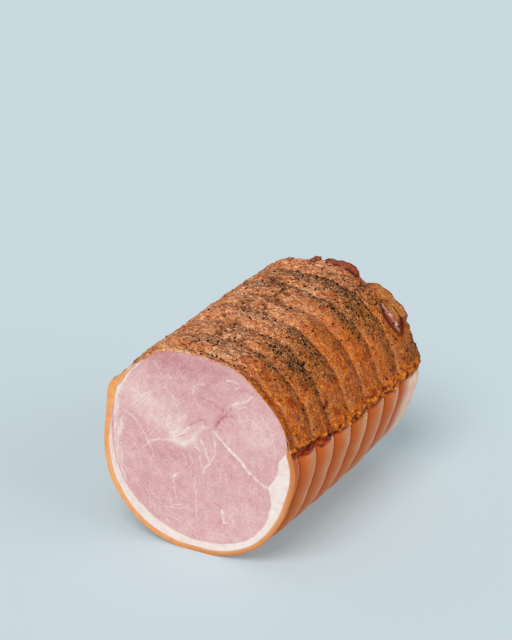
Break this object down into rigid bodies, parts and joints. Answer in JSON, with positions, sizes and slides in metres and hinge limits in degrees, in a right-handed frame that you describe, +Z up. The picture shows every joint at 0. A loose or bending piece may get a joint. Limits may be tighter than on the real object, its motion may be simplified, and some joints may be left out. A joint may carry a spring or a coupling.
{
  "type": "ham",
  "caption": "Cut half of a cooked, netted ham: flat cut face, ribbed rind round the base and sides, browned and peppered crust on top.",
  "frame": {"origin": "centre of the footprint box, on the surface that the ham lies on", "axes": "+Y along the ham, from the cut face to the rounded far end; +Z up"},
  "size_m": [0.1452, 0.1972, 0.1415],
  "materials": {
    "meat": "moist, pink, fine-grained",
    "fat": "smooth, creamy white",
    "rind": "smooth, orange brown, with a soft sheen",
    "crust": "browned, wrinkled, with a low sheen",
    "pepper": "rough, near black"
  },
  "bodies": {
    "root": {"ham": "meat"}
  },
  "joints": []
}
